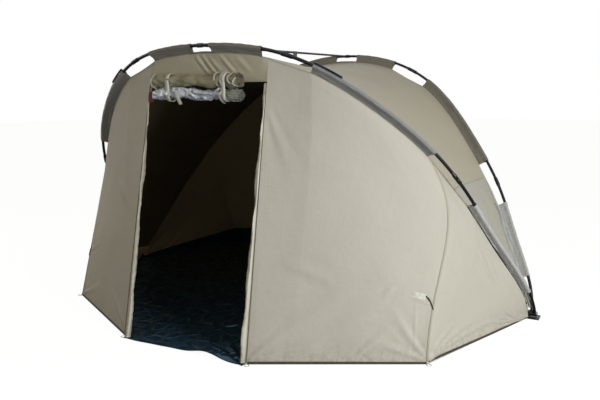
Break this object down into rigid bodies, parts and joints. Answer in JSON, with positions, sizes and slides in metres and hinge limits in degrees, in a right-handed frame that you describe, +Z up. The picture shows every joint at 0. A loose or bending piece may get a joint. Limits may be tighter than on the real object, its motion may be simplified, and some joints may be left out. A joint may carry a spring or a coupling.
{
  "type": "bivvy tent",
  "caption": "Twin-rib pram-hood bivvy shelter with an open doorway, rolled-up door and window, ridge tension bar, sleeved ribs and a dark groundsheet.",
  "frame": {"origin": "on the ground, midway between the two hub pins, at the groundsheet's underside", "axes": "+Z up, +Y to the back, +X to the right as seen when facing the doorway from outside"},
  "size_m": [3.1876, 2.8349, 1.6421],
  "materials": {
    "shell_cloth": "matt coated tan polyester",
    "sleeve_web": "matt dark grey mesh webbing",
    "floor_sheet": "glossy dark coated sheet",
    "clear_window": "clear crinkled sheet",
    "pale_webbing": "pale woven webbing",
    "black_plastic": "matt moulded",
    "pole": "black anodised tube",
    "steel": "satin"
  },
  "bodies": {
    "ground": {"groundsheet": "floor_sheet", "hub_left": "black_plastic", "hub_right": "black_plastic", "hub_pin_left": "steel", "hub_pin_right": "steel", "back_wall": "shell_cloth", "rear_side_panel_left": "shell_cloth", "rear_side_panel_right": "shell_cloth"},
    "rear_frame": {"rear_rib_crown": "pole", "rear_rib_shoulder_left": "pole", "rear_rib_shoulder_right": "pole", "rear_rib_leg_left": "pole", "rear_rib_leg_right": "pole", "rear_sleeve_crown": "sleeve_web", "rear_sleeve_shoulder_left": "sleeve_web", "rear_sleeve_shoulder_right": "sleeve_web", "rear_sleeve_leg_left": "sleeve_web", "rear_sleeve_leg_right": "sleeve_web", "roof_canopy": "shell_cloth", "roof_wing_left": "shell_cloth", "roof_wing_right": "shell_cloth", "ridge_clip_rear": "black_plastic", "ridge_pin": "black_plastic"},
    "front_frame": {"front_rib_crown": "pole", "front_rib_shoulder_left": "pole", "front_rib_shoulder_right": "pole", "front_rib_leg_left": "pole", "front_rib_leg_right": "pole", "front_sleeve_crown": "sleeve_web", "front_sleeve_shoulder_left": "sleeve_web", "front_sleeve_shoulder_right": "sleeve_web", "front_sleeve_leg_left": "sleeve_web", "front_sleeve_leg_right": "sleeve_web", "front_panel_left": "shell_cloth", "front_panel_right": "shell_cloth", "front_side_panel_left": "shell_cloth", "front_side_panel_right": "shell_cloth", "roll_strap_left": "pale_webbing", "roll_strap_right": "pale_webbing", "storm_flap_left": "pale_webbing", "storm_flap_right": "pale_webbing", "guy_tab_left": "pale_webbing", "guy_tab_right": "pale_webbing", "peg_ring_door_left": "steel", "peg_ring_door_right": "steel", "peg_ring_side_left": "steel", "peg_ring_side_right": "steel", "tension_strap_left": "sleeve_web", "tension_strap_right": "sleeve_web", "shoulder_rod_left": "black_plastic", "shoulder_rod_right": "black_plastic", "door_header": "shell_cloth", "door_roll": "shell_cloth", "window_roll": "clear_window", "ridge_clip_front": "black_plastic"},
    "ridge_bar": {"ridge_bar": "pole", "ridge_tab": "sleeve_web"},
    "zip_slider_left": {"zip_slider_left": "steel"},
    "zip_slider_right": {"zip_slider_right": "steel"}
  },
  "joints": [
    {"name": "rear_rib_fold", "type": "hinge", "parent": "ground", "child": "rear_frame", "pos_m": [0, 0, 0.024], "axis": [-1, 0, 0], "range_deg": [0, 55], "deforming": ["back_wall", "rear_side_panel_left", "rear_side_panel_right"]},
    {"name": "front_rib_fold", "type": "hinge", "parent": "rear_frame", "child": "front_frame", "pos_m": [0, 0, 0.024], "axis": [-1, 0, 0], "range_deg": [0, 45], "deforming": ["roof_canopy", "roof_wing_left", "roof_wing_right"]},
    {"name": "ridge_bar_swing", "type": "hinge", "parent": "rear_frame", "child": "ridge_bar", "pos_m": [0, 0.68401, 1.62974], "axis": [-1, 0, 0], "range_deg": [0, 54]},
    {"name": "zip_slide_left", "type": "slide", "parent": "front_frame", "child": "zip_slider_left", "axis": [0.0145, 0.1913, 0.9814], "range_m": [0, 1]},
    {"name": "zip_slide_right", "type": "slide", "parent": "front_frame", "child": "zip_slider_right", "axis": [-0.0145, 0.1913, 0.9814], "range_m": [0, 1]}
  ],
  "couplings": [
    {"joint": "ridge_bar_swing", "follows": "front_rib_fold", "ratio": 1.2}
  ]
}
